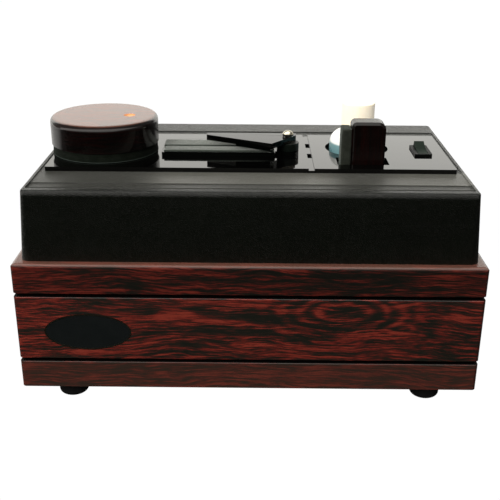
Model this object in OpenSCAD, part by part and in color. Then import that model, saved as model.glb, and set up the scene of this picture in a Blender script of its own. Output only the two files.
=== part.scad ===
// Vacuum record cleaning machine, hand turned. Wooden cabinet, moulded black cover,
// glossy deck with record platter, suction slot, slot-cover arm, fluid bottle, brush and switch.
// Origin: on the floor below the centre of the cabinet. +X right, +Y to the back, +Z up.

/* [Cabinet] */
// Outside width of the cabinet
cab_w = 397; // [390:1:400]
// Outside depth of the cabinet
cab_d = 250; // [248:1:256]
// Height of the wooden walls
cab_h = 116; // [114:1:118]
// Thickness of the wooden walls
wall = 15; // [14:0.5:16]
// Height of each decorative saw groove
groove_h = 3.6; // [2:0.1:4]
// Depth of each decorative saw groove
groove_d = 3; // [1.5:0.5:4]
// Upper groove, distance of its centre below the top of the wall
groove_top = 27.8; // [24:0.2:32]
// Lower groove, distance of its centre below the top of the wall
groove_low = 89.2; // [86:0.2:92]
// Radius of the rounded outer edges
edge_r = 3.5; // [2:0.5:5]
// Height of the rubber feet
foot_h = 18; // [16:1:22]

/* [Cover] */
// Height of the moulded cover above the cabinet
cover_h = 60.8; // [60:0.2:62]
// How far the cover stands in from the cabinet's edge
ledge = 6.9; // [6:0.1:8]
// Draft of the cover on each side, from bottom to top
draft = 4; // [3:0.2:4.2]
// Thickness of the cover's side walls
cover_t = 3.2; // [2.8:0.2:3.6]
// Height of the drip rim that runs round the top
rim_step = 0.8; // [0.4:0.1:1]

/* [Deck] */
// Width of the deck plate
deck_w = 359; // [354:1:362]
// Depth of the deck plate
deck_d = 115; // [112:1:118]
// Thickness of the deck plate
deck_t = 4; // [3.5:0.1:4.5]
// Width of the drain gutter
gutter_w = 5.2; // [4.6:0.2:5.6]
// Depth of the drain gutter
gutter_t = 1.8; // [1:0.2:2.4]

/* [Record platter] */
// Sideways place of the spindle
spin_x = -135; // [-137:1:-133]
// Radius of the platter
platter_r = 48; // [46:0.5:49]
// Radius of the wooden label cap
cap_r = 49; // [48:0.1:50]
// Height of the wooden label cap
cap_h = 25; // [23:0.5:27]
// Radius of the spindle
spindle_r = 3.55; // [3.5:0.05:3.6]

/* [Suction slot] */
// Inner end of the suction slot
slot_x0 = -72; // [-73:0.5:-70]
// Outer end of the suction slot
slot_x1 = 16; // [14:0.5:17]
// Width of the suction slot
slot_w = 3; // [2:0.2:3.4]
// Thickness of the felt lips
lip_t = 2; // [1.6:0.1:2.2]

/* [Bottle and brush] */
// Radius of the fluid bottle
bottle_r = 25.5; // [25:0.1:26.5]
// Depth of the bottle well below the deck
bottle_deep = 100; // [90:1:104]
// Width of the brush handle
brush_w = 30; // [28:0.2:30.4]
// Depth of the brush well below the deck
brush_deep = 60; // [50:1:64]

/* [Hidden] */
$fn = 64;

z_ledge = foot_h + cab_h;
z_rim = z_ledge + cover_h;
z_abs = z_rim - rim_step;
z_deck = z_abs + deck_t;
z_base = foot_h + 9;
in_x = cab_w/2 - wall;
in_y = cab_d/2 - wall;
cov_w = cab_w - 2*ledge;
cov_d = cab_d - 2*ledge - 1.6;
foot_x = 159;
foot_y = 100;
badge_x = -137.5;
badge_z = 72;
badge_a = 37.2;
badge_b = 17;
// heights on the deck
z_mat = z_deck + 5;
z_cap = z_deck + 8.2;
z_slot = z_deck + 3.4;
z_arm = z_deck + 10.5;
arm_t = 5.1;
piv = [33.8, -7];
post_r = 10.1;
slot_y = -4;
bot = [99.3, 11.5];
gut_x = 53.2;
// brush, from the pad's face to the handle's far face
br_x0 = 79.2; pad_w = 9; br_x1 = br_x0 + pad_w + brush_w;
br_y0 = -43.7; br_y1 = -23.5;
br_z0 = z_deck - brush_deep; br_top = z_deck + 37.3;
// switch
sw = [157.7, -1];
sw_z = z_deck + 0.5;
sw_tilt = 12;
// motor axis, along X
m_z = 94;
tank_x0 = -48; tank_x1 = 66; tank_y = 85; tank_z0 = z_base + 0.2; tank_z1 = 130;
// window in the back wall
win_x0 = -112; win_x1 = 160; win_z0 = 50; win_z1 = 94;
horn_x = -86; horn_z = m_z - 33;

WOOD = [0.36, 0.12, 0.08];
BLACK = [0.09, 0.10, 0.10];
GLOSS = [0.05, 0.05, 0.05];
STEEL = [0.7, 0.7, 0.72];
FELT = [0.30, 0.34, 0.32];

// ---------- helpers ----------
function ell(a, b, n = 72) = [for (i = [0:n-1]) [a*cos(360*i/n), b*sin(360*i/n)]];

// rounded rectangle from squares and circles, lower left corner at x0, y0
module rrect(x0, y0, x1, y1, r) {
  translate([x0 + r, y0]) square([x1 - x0 - 2*r, y1 - y0]);
  translate([x0, y0 + r]) square([x1 - x0, y1 - y0 - 2*r]);
  for (x = [x0 + r, x1 - r], y = [y0 + r, y1 - r]) translate([x, y]) circle(r);
}
module slab(x0, y0, x1, y1, z0, z1, r) {
  translate([0, 0, z0]) linear_extrude(z1 - z0) rrect(x0, y0, x1, y1, r);
}
module box(x0, y0, z0, x1, y1, z1) {
  translate([x0, y0, z0]) cube([x1 - x0, y1 - y0, z1 - z0]);
}
module rod_x(x0, x1, y, z, r) translate([x0, y, z]) rotate([0, 90, 0]) cylinder(r = r, h = x1 - x0);
module rod_y(y0, y1, x, z, r) translate([x, y1, z]) rotate([90, 0, 0]) cylinder(r = r, h = y1 - y0);
module rod_z(z0, z1, x, y, r) translate([x, y, z0]) cylinder(r = r, h = z1 - z0);
// smooth lead through a few points, swept as one thin tube
function unit(v) = v/norm(v);
function between(a, b, c, d, t) = 0.5*(2*b + (c - a)*t + (2*a - 5*b + 4*c - d)*t*t + (3*b - a - 3*c + d)*t*t*t);
function smooth(p, n = 4) = let (m = len(p)) concat(
  [for (i = [0:m-2]) for (k = [0:n-1]) between(p[max(i-1, 0)], p[i], p[i+1], p[min(i+2, m-1)], k/n)], [p[m-1]]);
module tube(p, r, s = 8) {
  m = len(p);
  pts = [for (i = [0:m-1]) let (t = unit(p[min(i+1, m-1)] - p[max(i-1, 0)]),
         u = unit(cross(t, [0.6, 0.48, 0.64])), v = cross(t, u))
         for (k = [0:s-1]) p[i] + r*(cos(360*k/s)*u + sin(360*k/s)*v)];
  sides = [for (i = [0:m-2], k = [0:s-1]) [i*s + k, (i+1)*s + k, (i+1)*s + (k+1)%s, i*s + (k+1)%s]];
  polyhedron(pts, concat([[for (k = [0:s-1]) k]], [[for (k = [s-1:-1:0]) (m-1)*s + k]], sides), convexity = 6);
}
// rounding cutter along X: the corner is at the origin, the wood lies towards +Y and -Z
module round_cut(l, r) {
  difference() {
    translate([-l/2, -1, -r]) cube([l, r + 1, r + 1]);
    translate([-l/2 - 1, r, -r]) rotate([0, 90, 0]) cylinder(r = r, h = l + 2);
  }
}
// saw groove along X on the face y = 0, with a small chamfer on its lower lip
module groove(l) {
  rotate([90, 0, 90]) linear_extrude(l)
    polygon([[-1, groove_h/2], [groove_d, groove_h/2], [groove_d, -groove_h/2],
             [0.4, -groove_h/2], [-1, -groove_h/2 - 1.4]]);
}
// mitred wall board: outer face on y = 0, inner face on y = wall
module board(l) {
  difference() {
    linear_extrude(cab_h) polygon([[-l/2, 0], [l/2, 0], [l/2 - wall, wall], [-l/2 + wall, wall]]);
    for (d = [groove_top, groove_low]) translate([-l/2 - 1, 0, cab_h - d]) groove(l + 2);
    translate([0, 0, cab_h]) round_cut(l + 2, edge_r);
    for (s = [-1, 1]) difference() {
      translate([s*(l/2 - edge_r/2 + 0.5), edge_r/2 - 0.5, cab_h/2])
        cube([edge_r + 1, edge_r + 1, cab_h + 2], center = true);
      translate([s*(l/2 - edge_r), edge_r, -2]) cylinder(r = edge_r, h = cab_h + 4);
    }
  }
}
module front_place() { translate([0, -cab_d/2, foot_h]) children(); }

// ---------- cabinet ----------
module cabinet_front() color(WOOD) difference() {
  front_place() board(cab_w);
  // shallow oval seat of the badge
  translate([badge_x, -cab_d/2 + 0.8, badge_z]) rotate([90, 0, 0])
    linear_extrude(2) polygon(ell(badge_a, badge_b));
}
module cabinet_back() color(WOOD) difference() {
  rotate([0, 0, 180]) front_place() board(cab_w);
  box(win_x0, in_y - 1, win_z0, win_x1, cab_d/2 + 1, win_z1);
  for (p = panel_pts) rod_y(in_y - 1, in_y + 4.5, p[0], p[1], 1.5);
}
module cabinet_left() color(WOOD) translate([-cab_w/2, 0, foot_h]) rotate([0, 0, -90]) board(cab_d);
module cabinet_right() color(WOOD) translate([cab_w/2, 0, foot_h]) rotate([0, 0, 90]) board(cab_d);

base_pts = [for (x = [-1, 0, 1], y = [-1, 1]) [x*120, y*(in_y - 7.5)],
            for (s = [-1, 1]) [s*(in_x - 7.5), 0]];
feet_pts = [for (x = [-1, 1], y = [-1, 1]) [x*foot_x, y*foot_y]];
module base_panel() color([0.45, 0.30, 0.2]) difference() {
  box(-in_x, -in_y, foot_h, in_x, in_y, z_base);
  for (p = feet_pts) translate([p[0], p[1], foot_h - 1]) cylinder(r = 1.85, h = 11);
  for (p = base_pts) {
    translate([p[0], p[1], foot_h - 1]) cylinder(r = 2.1, h = 11);
    translate([p[0], p[1], foot_h - 1]) cylinder(r = 4.3, h = 3.6);
  }
  // cooling air slots below the motor
  for (i = [0:6]) box(-166 + i*11, -38, foot_h - 1, -161 + i*11, 38, z_base + 1);
}
// battens that the base is screwed to
module base_cleats() color([0.72, 0.58, 0.38]) difference() {
  union() {
    box(-in_x, -in_y, z_base, in_x, -in_y + 15, z_base + 15);
    box(-in_x, in_y - 15, z_base, in_x, in_y, z_base + 15);
    for (s = [-1, 1]) translate([s*(in_x - 7.5), 0, z_base + 7.5]) cube([15, 60, 15], center = true);
  }
  for (p = base_pts) translate([p[0], p[1], z_base - 1]) cylinder(r = 1.85, h = 11);
}
// twelve equal screws that hold the base and the feet
module wood_screw() {
  cylinder(r = 4, h = 2.4);
  translate([0, 0, 2.3]) cylinder(r = 1.8, h = 16.1);
}
module base_screws() color(STEEL) {
  for (p = base_pts) translate([p[0], p[1], foot_h + 0.2]) wood_screw();
  for (p = feet_pts) translate([p[0], p[1], 6.6]) wood_screw();
}
// tapered rubber foot with a rounded bottom and a sunk screw
module feet() color(BLACK) for (p = feet_pts) translate([p[0], p[1], 0]) rotate_extrude() difference() {
  union() {
    polygon([[0, 3.5], [13.1, 3.5], [13.5, foot_h - 1.2], [14, foot_h - 1.2], [14, foot_h], [0, foot_h]]);
    square([9.6, 4]);
    translate([9.6, 3.5]) circle(3.5);
  }
  translate([-20, -5]) square([20, 40]);
  translate([0, -1]) square([4.3, 10]);
  square([2.3, foot_h + 1]);
}
// plain black oval plate with a thin raised border, set flush in the wood
module badge_plate() color(GLOSS) translate([badge_x, -cab_d/2 + 0.8, badge_z]) rotate([90, 0, 0])
  linear_extrude(0.5) polygon(ell(badge_a - 0.1, badge_b - 0.1));
module badge_rim() color([0.75, 0.66, 0.45]) translate([badge_x, -cab_d/2 + 0.3, badge_z]) rotate([90, 0, 0])
  difference() {
    linear_extrude(0.3) polygon(ell(badge_a - 0.1, badge_b - 0.1));
    translate([0, 0, -1]) linear_extrude(3) polygon(ell(badge_a - 1.2, badge_b - 1.2));
  }

// ---------- cover ----------
// tapered block with rounded corners and a rounded top edge
module cover_block(w, d, r, h, t, er) hull() for (sx = [-1, 1], sy = [-1, 1])
  translate([sx*(w/2 - r), sy*(d/2 - r), 0]) {
    cylinder(r1 = r, r2 = r - t, h = h - er, $fn = 32);
    translate([0, 0, h - er]) rotate_extrude($fn = 32) translate([r - t - er, 0]) circle(er, $fn = 20);
  }
deck_pts = [for (sx = [-1, 1], sy = [-1, 1]) [sx*173.5, sy*35],
            for (sx = [-1, 1], sy = [-1, 1]) [sx*60, sy*53.8]];
side_pts = [for (sx = [-1, 1], sy = [-1, 1]) [sx, sy*70]];
module top_cover() color(BLACK) difference() {
  translate([0, 0, z_ledge]) cover_block(cov_w, cov_d, 8, cover_h, draft, 1.8);
  translate([0, 0, z_ledge - 0.02])
    cover_block(cov_w - 2*cover_t, cov_d - 2*cover_t, 7.5, cover_h - 4.2, draft - 0.3, 1.5);
  // tray floor inside the drip rim
  slab(-cov_w/2 + draft + 3.4, -89.5, cov_w/2 - draft - 3.4, 81.8, z_abs, z_rim + 1, 2.5);
  // two-step spill channel along the front
  slab(-cov_w/2 + draft + 3.0, -101, cov_w/2 - draft - 3.0, -89.4, z_abs - 0.7, z_rim + 1, 1.5);
  slab(-cov_w/2 + draft + 3.0, -106.7, cov_w/2 - draft - 3.0, -99.6, z_abs - 1.3, z_rim + 1, 1.5);
  box(-cov_w/2 + draft + 3.4, -92, z_abs, cov_w/2 - draft - 3.4, -86, z_rim + 1);
  // opening under the deck plate
  slab(-168, -50, 168, 50, z_rim - 8, z_rim + 1, 4);
  for (p = deck_pts) translate([p[0], p[1], z_rim - 8]) cylinder(r = 1.6, h = 12);
  for (p = side_pts) side_rod(p[0], p[1], 10, -4, 1.9);
}
// rod through the cover's side, between two depths measured inwards from the cover's edge
module side_rod(s, y, deep, near, r)
  rod_x(s > 0 ? cov_w/2 - deep : -cov_w/2 + near, s > 0 ? cov_w/2 - near : -cov_w/2 + deep, y, z_ledge + 9, r);
module cover_cleats() color([0.72, 0.58, 0.38]) for (s = [-1, 1]) difference() {
  translate([s*(cov_w/2 - 11.4), 0, z_ledge + 8]) cube([13.6, 190, 16], center = true);
  for (y = [-70, 70]) side_rod(s, y, 16.3, 2.3, 1.85);
}
module cover_screws() color(STEEL) for (p = side_pts) {
  side_rod(p[0], p[1], 0.3, -1.5, 3.5);
  side_rod(p[0], p[1], 14.3, 0.2, 1.8);
}

// ---------- deck ----------
module deck_plate() color(GLOSS) difference() {
  slab(-deck_w/2, -deck_d/2, deck_w/2, deck_d/2, z_abs, z_deck, 1);
  translate([spin_x, 0, z_abs - 1]) cylinder(r = 7, h = deck_t + 2);
  box(slot_x0 - 2, slot_y - 8, z_abs - 1, slot_x1 + 2, slot_y + 8, z_deck + 1);
  translate([piv[0], piv[1], z_abs - 1]) cylinder(r = 2.55, h = deck_t + 2);
  translate([bot[0], bot[1], z_abs - 1]) cylinder(r = 29.4, h = deck_t + 2);
  slab(76.8, -44.6, 122.6, -21.9, z_abs - 1, z_deck + 1, 1);
  box(sw[0] - 6.7, sw[1] - 14.8, z_abs - 1, sw[0] + 6.7, sw[1] + 14.8, z_deck + 1);
  // drain gutter from front to back, with two drain slots
  box(gut_x - gutter_w/2, -deck_d/2 - 1, z_deck - gutter_t, gut_x + gutter_w/2, deck_d/2 + 1, z_deck + 1);
  for (y = [-18.7, 15.8]) box(gut_x - 1.4, y, z_abs - 1, gut_x + gutter_w/2 - 0.2, y + 14.2, z_deck + 1);
  for (p = deck_pts) translate([p[0], p[1], z_abs - 1]) cylinder(r = 1.5, h = 3.6);
}
// fourteen equal screws that hold the deck plate and the rear panel
module small_screw() {
  cylinder(r = 2.8, h = 1.8);
  translate([0, 0, 1.7]) cylinder(r = 1.45, h = 5.8);
}
module small_screws() color(STEEL) {
  for (p = deck_pts) translate([p[0], p[1], z_rim - 6.1]) small_screw();
  for (p = panel_pts) translate([p[0], in_y - 4.3, p[1]]) rotate([-90, 0, 0]) small_screw();
}

// ---------- record platter and label cap ----------
module platter() color(BLACK) translate([spin_x, 0, 0]) rotate_extrude() difference() {
  polygon([[0, z_deck + 0.8], [platter_r - 0.6, z_deck + 0.8], [platter_r - 0.6, z_deck + 0.3], [platter_r + 0.4, z_deck + 0.3],
           [platter_r + 0.4, z_deck + 0.8], [platter_r, z_deck + 1.1], [platter_r, z_mat - 1.2], [0, z_mat - 1.2]]);
  translate([-1, z_deck]) square([spindle_r + 1, 10]);
  translate([13, z_deck]) square([platter_r - 17, 1.7]);
}
module platter_mat() color(FELT) translate([spin_x, 0, z_mat - 1.2]) difference() {
  cylinder(r = platter_r, h = 1.2);
  translate([0, 0, -1]) cylinder(r = 9, h = 4);
}
module spindle() color(STEEL) translate([spin_x, 0, 0]) rotate_extrude() {
  polygon([[0, 162], [spindle_r - 0.6, 162], [spindle_r, 162.6], [spindle_r, z_deck + 15],
           [spindle_r - 1.4, z_deck + 17], [0, z_deck + 17]]);
}
module spindle_bush() color([0.72, 0.55, 0.30]) translate([spin_x, 0, 0]) difference() {
  union() {
    translate([0, 0, z_deck - 24]) cylinder(r = 7, h = 24);
    translate([0, 0, z_deck]) cylinder(r = 11, h = 0.7);
    translate([0, 0, z_abs - 5]) cylinder(r = 12, h = 5);
  }
  translate([0, 0, z_deck - 30]) cylinder(r = spindle_r + 0.06, h = 40);
}
module spindle_clip() color(STEEL) translate([spin_x, 0, z_deck - 25.4]) difference() {
  cylinder(r = 6.4, h = 1.1);
  translate([0, 0, -1]) cylinder(r = spindle_r, h = 4);
}
cap_off = [23.6, -3.2];
module label_cap() color(WOOD) translate([spin_x, 0, z_cap]) difference() {
  rotate_extrude() {
    square([cap_r - 5, cap_h]);
    translate([0, 0.8]) square([cap_r, cap_h - 5.8]);
    square([cap_r - 0.8, 10]);
    translate([cap_r - 5, cap_h - 5]) intersection() { circle(5); square(6); }
    translate([cap_r - 0.8, 0.8]) intersection() { circle(0.8); translate([0, -1]) square(1); }
  }
  translate([0, 0, -1]) cylinder(r = spindle_r + 0.08, h = 10);
  translate([cap_off[0], cap_off[1], cap_h - 4]) cylinder(r = 5.4, h = 6);
}
// bare wood cup for one fingertip, used to turn the record by hand
module finger_insert() color([0.85, 0.55, 0.30]) translate([spin_x + cap_off[0], cap_off[1], z_cap + cap_h - 4])
  difference() {
    cylinder(r = 5.4, h = 4);
    translate([0, 0, 8.2]) sphere(r = 6.4);
  }
module cap_pad() color(BLACK) translate([spin_x, 0, z_mat + 0.1]) difference() {
  cylinder(r = platter_r, h = z_cap - z_mat - 0.1);
  translate([0, 0, -1]) cylinder(r = 6, h = 8);
}

// ---------- suction slot ----------
module slot_body() color(GLOSS) difference() {
  union() {
    slab(-81.2, -20.6, 22, 18.4, z_deck, z_slot, 1);
    box(20, piv[1] - 8, z_deck, piv[0], piv[1] + 8, z_slot);
    rod_z(z_deck, z_slot, piv[0], piv[1], post_r);
  }
  box(slot_x0, slot_y - slot_w/2, z_deck - 1, slot_x1, slot_y + slot_w/2, z_slot + 1);
  translate([piv[0], piv[1], z_deck - 1]) cylinder(r = 2.55, h = 6);
}
module lip_rear() color(FELT) slab(-80.8, slot_y + slot_w/2 + 0.1, 21.4, 17.8, z_slot, z_slot + lip_t, 1.2);
module lip_front() color(FELT) slab(-79.4, -20.2, 21.4, slot_y - slot_w/2 - 0.1, z_slot, z_slot + lip_t, 1.2);
// funnel from the slot down into the waste tank
module suction_funnel() color(BLACK) difference() {
  union() {
    box(-82, -18, z_abs - 2, 26, 18, z_abs);
    translate([0, 14.5, 0]) rotate([90, 0, 0]) linear_extrude(29)
      polygon([[-76, z_abs - 1.9], [20, z_abs - 1.9], [-13.5, 158], [-42.5, 158]]);
    rod_z(tank_z1 - 6, 159, -28, 0, 14);
  }
  translate([0, 12.5, 0]) rotate([90, 0, 0]) linear_extrude(25)
    polygon([[-73.6, z_abs + 1], [17.6, z_abs + 1], [17.6, z_abs - 2.2], [-15.6, 160], [-40.4, 160], [-73.6, z_abs - 2.2]]);
  rod_z(tank_z1 - 8, 161, -28, 0, 11.9);
}

// ---------- slot-cover arm ----------
// round post that carries the arm
module pivot_post() color([0.10, 0.13, 0.12]) difference() {
  rod_z(z_slot, z_arm - 0.3, piv[0], piv[1], post_r);
  translate([piv[0], piv[1], z_deck]) cylinder(r = 2.55, h = 12);
}
module slot_arm() color(GLOSS) difference() {
  translate([0, 0, z_arm]) linear_extrude(arm_t)
    polygon([[-41, 3.4], [-41, -4], [18.2, -34], [41.3, -4], [41.3, 3.4]]);
  translate([piv[0], piv[1], z_arm - 1]) cylinder(r = 2.56, h = arm_t + 2);
}
// felt pad that closes the outer part of the slot for smaller records
module arm_pad() color(BLACK) translate([0, 0, z_deck + 5.6])
  linear_extrude(z_arm - z_deck - 5.6) polygon([[-14, 0.6], [-14, -7], [17.6, -25], [17.6, 0.6]]);
module pivot_stud() color(STEEL) translate([piv[0], piv[1], 0]) {
  translate([0, 0, z_abs - 3.5]) cylinder(r = 4.4, h = 3.5, $fn = 6);
  translate([0, 0, z_abs - 1]) cylinder(r = 2.5, h = z_arm + arm_t + 3.8 - z_abs + 1);
}
module pivot_washer() color(STEEL) translate([piv[0], piv[1], z_arm + arm_t + 0.1]) difference() {
  cylinder(r = 4.8, h = 0.5);
  translate([0, 0, -1]) cylinder(r = 2.5, h = 3);
}
// domed brass thumb nut
module arm_knob() color([0.80, 0.68, 0.38]) translate([piv[0], piv[1], z_arm + arm_t + 0.7]) difference() {
  union() {
    cylinder(r = 5, h = 1.7);
    intersection() {
      translate([0, 0, 1.2]) cylinder(r = 4.9, h = 6);
      translate([0, 0, -0.9]) sphere(r = 5.6);
    }
  }
  translate([0, 0, -1]) cylinder(r = 2.56, h = 4.4);
}

// ---------- bottle and brush ----------
module bottle_shape(r, z0, sr, neck, top) {
  // r body radius, z0 bottom, sr shoulder radius, neck radius, top of the neck
  zs = z_deck + 5;
  rotate_extrude() {
    translate([0, z0]) square([r, zs - z0]);
    translate([0, z0]) square([r - sr, zs + sr - z0]);
    translate([r - sr, zs]) intersection() { circle(sr); square(sr + 1); }
    translate([0, z0]) square([neck, top - z0]);
  }
}
module bottle_body() color([0.93, 0.94, 0.92]) translate([bot[0], bot[1], 0]) difference() {
  bottle_shape(bottle_r, z_deck - bottle_deep, 13, 12, z_deck + 31);
  bottle_shape(bottle_r - 1.3, z_deck - bottle_deep + 1.3, 11.7, 10.4, z_deck + 32);
}
module bottle_fluid() color([0.35, 0.62, 0.66]) translate([bot[0], bot[1], 0]) intersection() {
  bottle_shape(bottle_r - 1.35, z_deck - bottle_deep + 1.35, 11.7, 5, z_deck + 20);
  translate([0, 0, z_deck - bottle_deep]) cylinder(r = 40, h = bottle_deep + 7);
}
// plain cream screw cap
module bottle_cap() color([0.95, 0.92, 0.82]) translate([bot[0], bot[1], z_deck + 20.2]) difference() {
  rotate_extrude() polygon([[0, 0], [15.05, 0], [15.05, 22.8], [14.6, 23.3], [0, 23.3]]);
  translate([0, 0, -1]) cylinder(r = 12.4, h = 12.5);
}
// round cup for the bottle, with a flange glued under the deck
module bottle_well() color(BLACK) difference() {
  union() {
    slab(66, -20.3, 134, 44, z_abs - 1.6, z_abs, 3);
    rod_z(z_deck - bottle_deep - 1.8, z_abs, bot[0], bot[1], 30.6);
  }
  rod_z(z_deck - bottle_deep - 0.2, z_abs + 1, bot[0], bot[1], 29.4);
}
// box for the brush
module brush_well() color(BLACK) difference() {
  union() {
    slab(66, -49.4, 134, -20.6, z_abs - 1.6, z_abs, 2);
    box(75.6, -45.8, br_z0 - 1.8, 123.8, -20.9, z_abs);
  }
  box(76.8, -44.6, br_z0 - 0.2, 122.6, -21.9, z_abs + 1);
}
module brush_handle() color(WOOD) translate([0, br_y1, 0]) rotate([90, 0, 0]) linear_extrude(br_y1 - br_y0) {
  x0 = br_x0 + pad_w; x1 = br_x1; ra = 4; rb = 7;
  translate([x0, br_z0]) square([x1 - x0, br_top - rb - br_z0]);
  translate([x0, br_top - rb - 1]) square([10, rb - ra + 1]);
  translate([x0 + ra, br_top - rb - 1]) square([x1 - x0 - ra - rb, rb + 1]);
  translate([x0 + ra, br_top - ra]) circle(ra);
  translate([x1 - rb, br_top - rb]) circle(rb);
}
module brush_pad() color(FELT) box(br_x0, br_y0 + 0.4, br_z0 + 4, br_x0 + pad_w, br_y1 - 0.4, z_deck + 31.2);

// ---------- switch ----------
module switch_frame() color(BLACK) difference() {
  union() {
    slab(sw[0] - 7.9, sw[1] - 15.6, sw[0] + 7.9, sw[1] + 15.6, z_deck, z_deck + 2.2, 0.6);
    box(sw[0] - 6.6, sw[1] - 14.7, z_deck - 22, sw[0] + 6.6, sw[1] + 14.7, z_deck + 0.5);
    for (y = [-8, 0, 8]) box(sw[0] - 2.4, sw[1] + y - 0.4, z_deck - 30, sw[0] + 2.4, sw[1] + y + 0.4, z_deck - 21);
  }
  box(sw[0] - 4.9, sw[1] - 13.8, z_deck - 9, sw[0] + 4.9, sw[1] + 13.8, z_deck + 5);
  rod_x(sw[0] - 6.1, sw[0] + 6.1, sw[1], sw_z, 1.55);
}
module switch_rocker() color([0.16, 0.20, 0.19]) translate([sw[0], sw[1], sw_z]) rotate([sw_tilt, 0, 0]) {
  translate([-4.5, 0, 0]) rotate([90, 0, 90]) linear_extrude(9)
    polygon([[-12.4, 4.3], [-6.5, 3.2], [0, 2.7], [6.5, 3.2], [12.4, 4.3], [13.2, 1.8], [13.4, 0],
             [12.5, -3], [5, -5.5], [-5, -5.5], [-12.5, -3], [-13.4, 0], [-13.2, 1.8]]);
  translate([-5.9, 0, 0]) rotate([0, 90, 0]) cylinder(r = 1.5, h = 11.8);
}

// ---------- waste tank, fan and motor ----------
module waste_tank() color([0.85, 0.85, 0.80]) difference() {
  slab(tank_x0, -tank_y, tank_x1, tank_y, tank_z0, tank_z1, 4);
  slab(tank_x0 + 3, -tank_y + 3, tank_x1 - 3, tank_y - 3, tank_z0 + 3, tank_z1 + 1, 1.5);
  rod_x(tank_x0 - 1, tank_x0 + 5, 0, m_z, 18.2);
  rod_y(tank_y - 5, tank_y + 1, 20, 70, 5.05);
}
module tank_lid() color([0.80, 0.80, 0.76]) difference() {
  union() {
    slab(tank_x0, -tank_y, tank_x1, tank_y, tank_z1, tank_z1 + 3, 4);
    rod_z(tank_z1, tank_z1 + 12, -28, 0, 17);
    rod_z(tank_z1, tank_z1 + 8, 54, 6, 6);
  }
  rod_z(tank_z1 - 1, tank_z1 + 13, -28, 0, 14.05);
  rod_z(tank_z1 - 1, tank_z1 + 9, 54, 6, 4.05);
}
// trough under the drain slots, with a down-pipe into the tank
module drain_trough() color(BLACK) difference() {
  union() {
    box(46.5, -24, z_abs - 12, 60.5, 36, z_abs);
    rod_z(tank_z1 - 6, z_abs - 11, 54, 6, 4);
  }
  box(48, -22.5, z_abs - 10.5, 59, 34.5, z_abs + 1);
  rod_z(tank_z1 - 7, z_abs - 8, 54, 6, 2.8);
}
module fan_housing() color([0.75, 0.75, 0.77]) difference() {
  rod_x(-108, -62, 0, m_z, 54);
  rod_x(-105.5, -64.5, 0, m_z, 51.5);
  rod_x(-70, -50, 0, m_z, 13.5);
  rod_y(0, in_y, horn_x, horn_z, 10.8);
  rod_x(-110, -100, 0, m_z, 12);
}
// exhaust pipe from the fan housing to the rear grille
module fan_horn() color([0.75, 0.75, 0.77]) difference() {
  rod_y(15, in_y - 2.6, horn_x, horn_z, 13);
  rod_y(10, in_y, horn_x, horn_z, 10.8);
  rod_x(-112, -58, 0, m_z, 54.02);
}
module impeller() color([0.8, 0.8, 0.82]) difference() {
  union() {
    rod_x(-101, -99, 0, m_z, 48);
    rod_x(-99.5, -72, 0, m_z, 8);
    difference() {
      rod_x(-80, -78, 0, m_z, 48);
      rod_x(-82, -76, 0, m_z, 22);
    }
    for (a = [0:45:315]) translate([0, 0, m_z]) rotate([a, 0, 0]) box(-99.5, 14, -1, -79.5, 46, 1);
  }
  rod_x(-110, -60, 0, m_z, 4);
}
module motor_shaft() color(STEEL) {
  rod_x(-172, -68, 0, m_z, 4);
  rod_x(-158, -124, 0, m_z, 22);
  rod_x(-122, -117, 0, m_z, 11);
}
module motor_can() color([0.25, 0.25, 0.27]) difference() {
  rod_x(-176, -108, 0, m_z, 38);
  rod_x(-173, -112, 0, m_z, 36);
  rod_x(-177, -100, 0, m_z, 10);
}
module motor_stator() color([0.45, 0.40, 0.36]) difference() {
  rod_x(-156, -126, 0, m_z, 36);
  rod_x(-157, -125, 0, m_z, 23);
}
module motor_bearings() color(STEEL) for (x = [-176, -112]) difference() {
  rod_x(x, x + 4, 0, m_z, 10);
  rod_x(x - 1, x + 5, 0, m_z, 4.06);
}
// two cradles with a common foot
module motor_bracket() color([0.6, 0.6, 0.62]) difference() {
  union() {
    box(-166, -34, z_base, -118, 34, z_base + 3);
    for (x = [-164, -130]) box(x, -34, z_base, x + 4, 34, m_z - 8);
  }
  rod_x(-170, -110, 0, m_z, 38.02);
  for (x = [-150, -142], y = [-28, 28]) rod_z(z_base - 1, z_base + 5, x, y, 2.2);
}
// rubber cuff between the tank port and the fan inlet
module intake_cuff() color(BLACK) difference() {
  union() {
    rod_x(-60, tank_x0 + 3, 0, m_z, 18.2);
    rod_x(-62, tank_x0, 0, m_z, 20);
  }
  rod_x(-63, tank_x0 + 4, 0, m_z, 13.5);
}

// ---------- rear fittings, recessed in the back window ----------
panel_pts = [for (x = [-117, 24, 165], z = [47, 97]) [x, z]];
module rear_panel() color(BLACK) difference() {
  box(win_x0 - 10, in_y - 2.5, win_z0 - 6, win_x1 + 10, in_y, win_z1 + 6);
  for (p = panel_pts) rod_y(in_y - 4, in_y + 1, p[0], p[1], 1.6);
  // exhaust grille
  for (i = [-3:3]) box(horn_x + i*3.4 - 0.8, in_y - 4, horn_z - 9, horn_x + i*3.4 + 0.8, in_y + 1, horn_z + 9);
  box(132 - 13.6, in_y - 4, 72 - 9.9, 132 + 13.6, in_y + 1, 72 + 9.9);
  rod_y(in_y - 4, in_y + 1, 92, 72, 6.5);
  rod_y(in_y - 4, in_y + 1, 20, 70, 5.05);
}
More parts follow.
